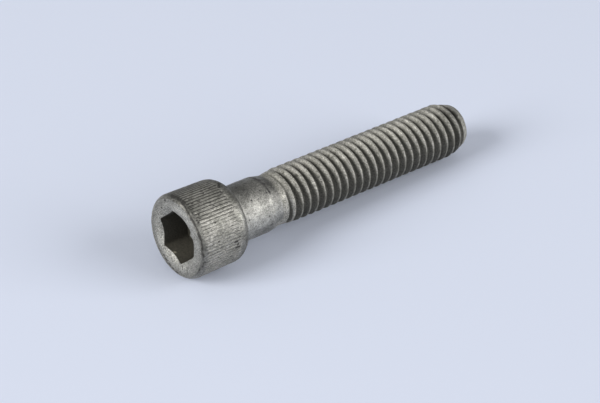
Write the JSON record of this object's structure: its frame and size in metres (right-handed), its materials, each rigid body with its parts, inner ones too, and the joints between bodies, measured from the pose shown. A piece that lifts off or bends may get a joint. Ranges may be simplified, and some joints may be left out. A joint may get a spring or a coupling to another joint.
{
  "type": "hex socket head cap screw",
  "caption": "Cylindrical knurled head with a hex socket whose mouth is rounded, a short plain body, a tapered neck and a long right-hand coarse thread with a chamfered point.",
  "frame": {"origin": "centre of the head's flat face, on the surface that the screw stands on", "axes": "+Z along the screw's axis from the head to the point, +X through a corner of the hex socket, +Y completing a right-handed set"},
  "size_m": [0.0142, 0.0142, 0.0592],
  "materials": {
    "steel": "dull, lightly pitted warm grey alloy steel with brown-black residue in its grooves"
  },
  "bodies": {
    "root": {"cap_screw": "steel"}
  },
  "joints": []
}
